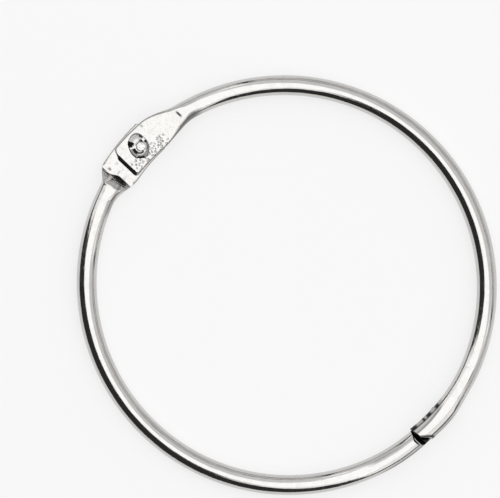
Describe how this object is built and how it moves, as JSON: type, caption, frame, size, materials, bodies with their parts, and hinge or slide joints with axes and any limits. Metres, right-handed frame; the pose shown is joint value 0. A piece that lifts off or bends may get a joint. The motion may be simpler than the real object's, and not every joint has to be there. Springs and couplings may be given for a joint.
{
  "type": "binder ring",
  "caption": "Round loose-leaf binder ring of plated steel wire: two half rings on a riveted hinge, with a lapped snap catch opposite.",
  "frame": {"origin": "centre of the closed ring, at the wire's mid plane", "axes": "ring flat in XY, hinge on -X, catch on +X, +Z towards the rivet's clenched end"},
  "size_m": [0.0863, 0.0832, 0.0043],
  "materials": {
    "nickel_plate": "polished",
    "rivet_metal": "polished"
  },
  "bodies": {
    "lower_half": {"lower_half_ring": "nickel_plate", "rivet": "rivet_metal"},
    "upper_half": {"upper_half_ring": "nickel_plate"}
  },
  "joints": [
    {"name": "hinge", "type": "hinge", "parent": "lower_half", "child": "upper_half", "pos_m": [-0.04049, 0, 0], "axis": [0, 0, 1], "range_deg": [0, 150]}
  ]
}
